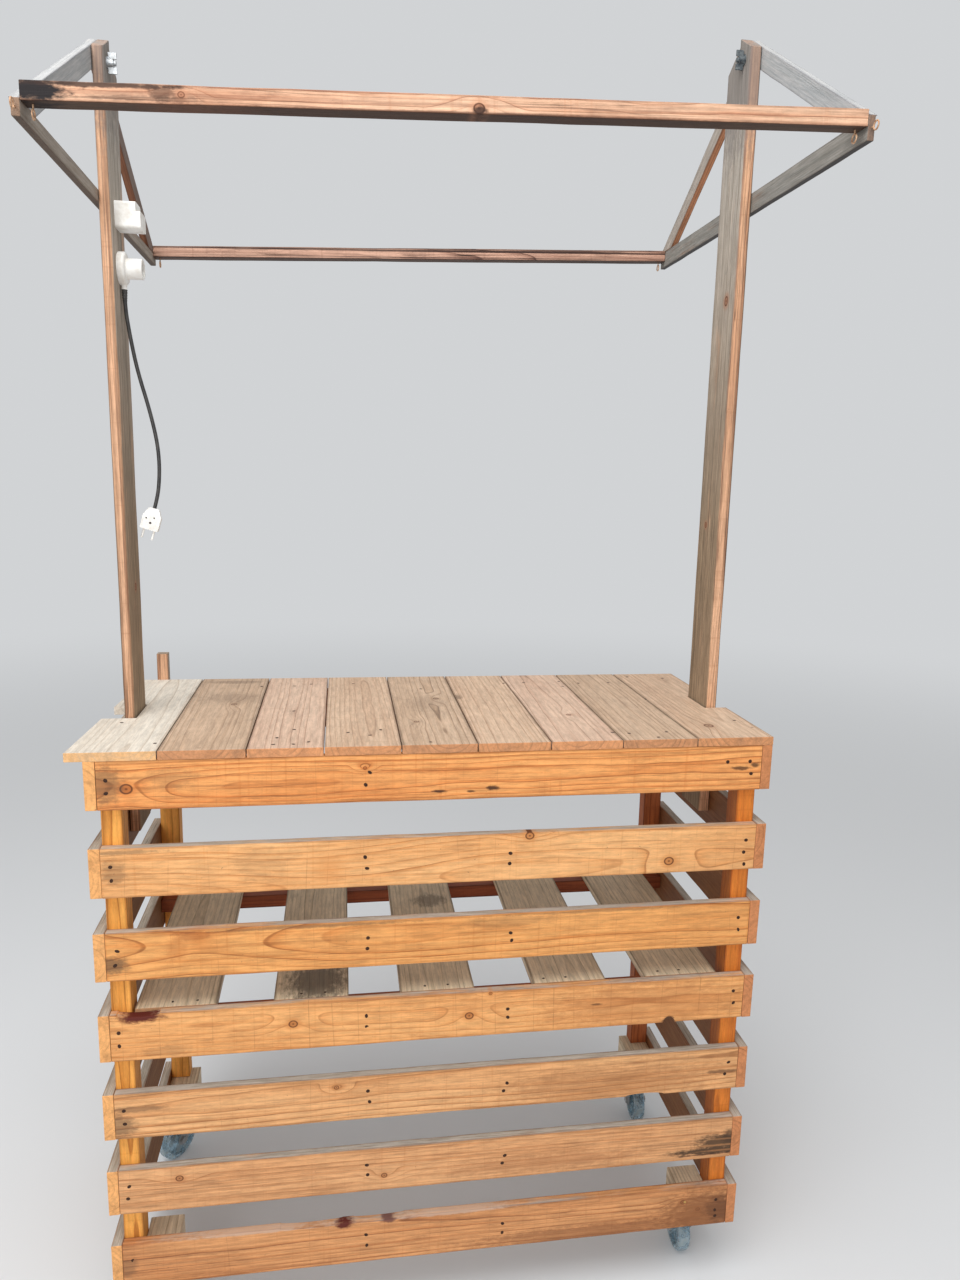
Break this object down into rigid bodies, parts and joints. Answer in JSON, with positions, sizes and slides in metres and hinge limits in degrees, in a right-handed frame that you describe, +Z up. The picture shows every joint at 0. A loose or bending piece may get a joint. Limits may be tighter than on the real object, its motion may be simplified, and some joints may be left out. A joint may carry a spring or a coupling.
{
  "type": "wooden market stall",
  "caption": "Open wooden market stall: slatted counter on swivel casters with an inner shelf, and tall uprights that carry an open gable roof frame.",
  "frame": {"origin": "on the floor under the middle of the stall's whole outline", "axes": "+Z up, +X to the customer's right along the counter, +Y from the counter's slatted front to the seller's side"},
  "size_m": [1.2696, 0.9288, 2.481],
  "materials": {
    "orange_wood": "rough sawn pine",
    "board_wood": "weathered pine board",
    "weathered_wood": "grey weathered pine",
    "zinc_steel": "zinc plated",
    "rusty_steel": "rusty wire",
    "wheel_gel": "clear blue gel",
    "white_plastic": "satin moulded",
    "cord_plastic": "soft PVC"
  },
  "bodies": {
    "stall": {"caster_blocks": "board_wood", "caster_plates": "zinc_steel", "cord_plug": "white_plastic", "front_apron": "orange_wood", "front_post_left": "orange_wood", "front_post_right": "orange_wood", "front_slat_1": "orange_wood", "front_slat_2": "orange_wood", "front_slat_3": "orange_wood", "front_slat_4": "orange_wood", "front_slat_5": "orange_wood", "front_slat_6": "orange_wood", "lamp_cord": "cord_plastic", "lamp_holder": "white_plastic", "outlet_box": "white_plastic", "rafter_front_left": "weathered_wood", "rafter_front_right": "weathered_wood", "rafter_rear_left": "weathered_wood", "rafter_rear_right": "weathered_wood", "rear_apron": "orange_wood", "rear_batten": "weathered_wood", "rear_post_left": "orange_wood", "rear_post_right": "orange_wood", "roof_rail_front": "orange_wood", "roof_rail_rear": "weathered_wood", "screw_eyes": "rusty_steel", "shelf_boards": "board_wood", "shelf_rail_front": "orange_wood", "shelf_rail_rear": "orange_wood", "side_apron_left": "orange_wood", "side_apron_right": "orange_wood", "side_slats_left": "orange_wood", "side_slats_right": "orange_wood", "tie_left": "weathered_wood", "tie_right": "weathered_wood", "top_board_left": "board_wood", "top_board_right": "board_wood", "top_boards": "board_wood", "upright_left": "weathered_wood", "upright_right": "weathered_wood", "wing_bolt_left": "zinc_steel", "wing_bolt_right": "zinc_steel"},
    "swivel_front_left": {"caster_fork_front_left": "zinc_steel"},
    "wheel_front_left": {"caster_wheel_front_left": "wheel_gel"},
    "swivel_front_right": {"caster_fork_front_right": "zinc_steel"},
    "wheel_front_right": {"caster_wheel_front_right": "wheel_gel"},
    "swivel_rear_left": {"caster_fork_rear_left": "zinc_steel"},
    "wheel_rear_left": {"caster_wheel_rear_left": "wheel_gel"},
    "swivel_rear_right": {"caster_fork_rear_right": "zinc_steel"},
    "wheel_rear_right": {"caster_wheel_rear_right": "wheel_gel"}
  },
  "joints": [
    {"name": "turn_front_left", "type": "hinge", "parent": "stall", "child": "swivel_front_left", "pos_m": [-0.51725, -0.21962, 0.1], "axis": [0, 0, 1], "continuous": true},
    {"name": "roll_front_left", "type": "hinge", "parent": "swivel_front_left", "child": "wheel_front_left", "pos_m": [-0.52115, -0.18786, 0.05], "axis": [-0.9925, -0.1219, 0], "continuous": true},
    {"name": "turn_front_right", "type": "hinge", "parent": "stall", "child": "swivel_front_right", "pos_m": [0.54675, -0.21962, 0.1], "axis": [0, 0, 1], "continuous": true},
    {"name": "roll_front_right", "type": "hinge", "parent": "swivel_front_right", "child": "wheel_front_right", "pos_m": [0.54787, -0.18764, 0.05], "axis": [-0.9994, 0.0349, 0], "continuous": true},
    {"name": "turn_rear_left", "type": "hinge", "parent": "stall", "child": "swivel_rear_left", "pos_m": [-0.55325, 0.24438, 0.1], "axis": [0, 0, 1], "continuous": true},
    {"name": "roll_rear_left", "type": "hinge", "parent": "swivel_rear_left", "child": "wheel_rear_left", "pos_m": [-0.57295, 0.21916, 0.05], "axis": [0.788, -0.6157, 0], "continuous": true},
    {"name": "turn_rear_right", "type": "hinge", "parent": "stall", "child": "swivel_rear_right", "pos_m": [0.58275, 0.24438, 0.1], "axis": [0, 0, 1], "continuous": true},
    {"name": "roll_rear_right", "type": "hinge", "parent": "swivel_rear_right", "child": "wheel_rear_right", "pos_m": [0.58163, 0.21239, 0.05], "axis": [0.9994, -0.0349, 0], "continuous": true}
  ]
}
